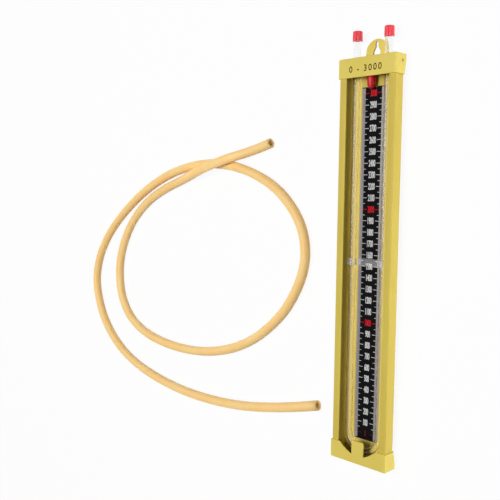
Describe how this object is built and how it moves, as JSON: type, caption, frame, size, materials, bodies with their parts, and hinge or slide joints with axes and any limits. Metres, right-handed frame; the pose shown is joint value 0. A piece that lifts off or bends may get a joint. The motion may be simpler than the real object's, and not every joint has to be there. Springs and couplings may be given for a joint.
{
  "type": "u-tube manometer",
  "caption": "Wall-hung U-tube manometer: glass U-tube in a yellow plastic channel with end caps, sliding pressure scale, zero knob, tube plugs and a latex hose.",
  "frame": {"origin": "under the middle of the instrument's bounding box, on the floor that it lies on with its face up; the loose hose is left out of it", "axes": "+X to the instrument's right, +Y up the instrument towards its open glass ends, +Z out of its face"},
  "size_m": [0.4736, 0.3864, 0.0204],
  "materials": {
    "yellow_rail": "extruded plastic, fine lengthwise drag lines, satin",
    "yellow_panel": "extruded plastic, satin",
    "yellow_cap": "moulded plastic, smooth satin gloss",
    "clear_glass": "clear drawn glass, fire-polished rims",
    "scale_metal": "satin aluminium strip with black printed band, white and red figures and ticks",
    "red_plastic": "moulded soft red plastic",
    "zinc_steel": "bright zinc plated",
    "black_rubber": "matt black rubber",
    "clear_acrylic": "clear moulded acrylic",
    "latex": "translucent amber latex"
  },
  "bodies": {
    "instrument": {"rail_left": "yellow_rail", "rail_right": "yellow_rail", "back_panel": "yellow_panel", "glass_tube": "clear_glass", "zero_screw": "zinc_steel", "zero_washer": "zinc_steel", "zero_nut": "zinc_steel", "top_cap": "yellow_cap", "bottom_cap": "yellow_cap", "hanging_loop": "yellow_cap", "bend_cushion": "black_rubber", "grommet_left": "black_rubber", "grommet_right": "black_rubber", "centre_clip": "clear_acrylic", "cap_pins": "zinc_steel", "latex_hose": "latex"},
    "scale": {"scale_plate": "scale_metal"},
    "knob": {"zero_knob": "red_plastic"},
    "left_plug": {"tube_plug_left": "red_plastic"},
    "right_plug": {"tube_plug_right": "red_plastic"}
  },
  "joints": [
    {"name": "zero_slide", "type": "slide", "parent": "instrument", "child": "scale", "axis": [0, 1, 0], "range_m": [0, 0.005]},
    {"name": "zero_turn", "type": "hinge", "parent": "scale", "child": "knob", "pos_m": [0, 0.15, 0.0093], "axis": [0, 1, 0], "range_deg": [0, 2571.5]},
    {"name": "left_plug_pull", "type": "slide", "parent": "instrument", "child": "left_plug", "axis": [0, 1, 0], "range_m": [0, 0.012]},
    {"name": "right_plug_pull", "type": "slide", "parent": "instrument", "child": "right_plug", "axis": [0, 1, 0], "range_m": [0, 0.012]}
  ],
  "couplings": [
    {"joint": "zero_turn", "follows": "zero_slide", "rad_per_m": 8976}
  ]
}
